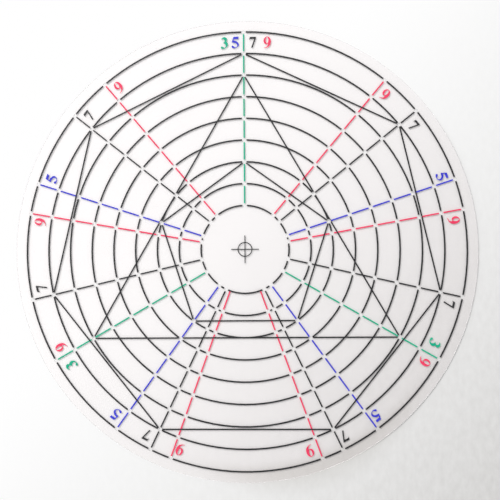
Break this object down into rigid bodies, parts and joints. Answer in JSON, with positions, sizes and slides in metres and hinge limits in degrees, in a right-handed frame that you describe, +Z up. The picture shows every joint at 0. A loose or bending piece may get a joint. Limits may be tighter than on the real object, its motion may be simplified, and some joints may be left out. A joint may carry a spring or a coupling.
{
  "type": "decorating disk",
  "caption": "Flat round clear plastic sheet, printed with rings, coloured spokes and plain shapes, with a small marking hole where each spoke crosses each ring.",
  "frame": {"origin": "centre of the sheet on its underside, where it lies on the work", "axes": "+Z up through the sheet from its underside to its printed face, +Y along the spoke that all the divisions share, +X to the right of it"},
  "size_m": [0.2666, 0.2666, 0.0009],
  "materials": {
    "clear_plastic": "clear, smooth and glossy, with a faint warm tint",
    "black_ink": "printed ink, satin",
    "green_ink": "printed ink, satin",
    "blue_ink": "printed ink, satin",
    "red_ink": "printed ink, satin"
  },
  "bodies": {
    "root": {"disk": "clear_plastic", "black_print": "black_ink", "green_print": "green_ink", "blue_print": "blue_ink", "red_print": "red_ink"}
  },
  "joints": []
}
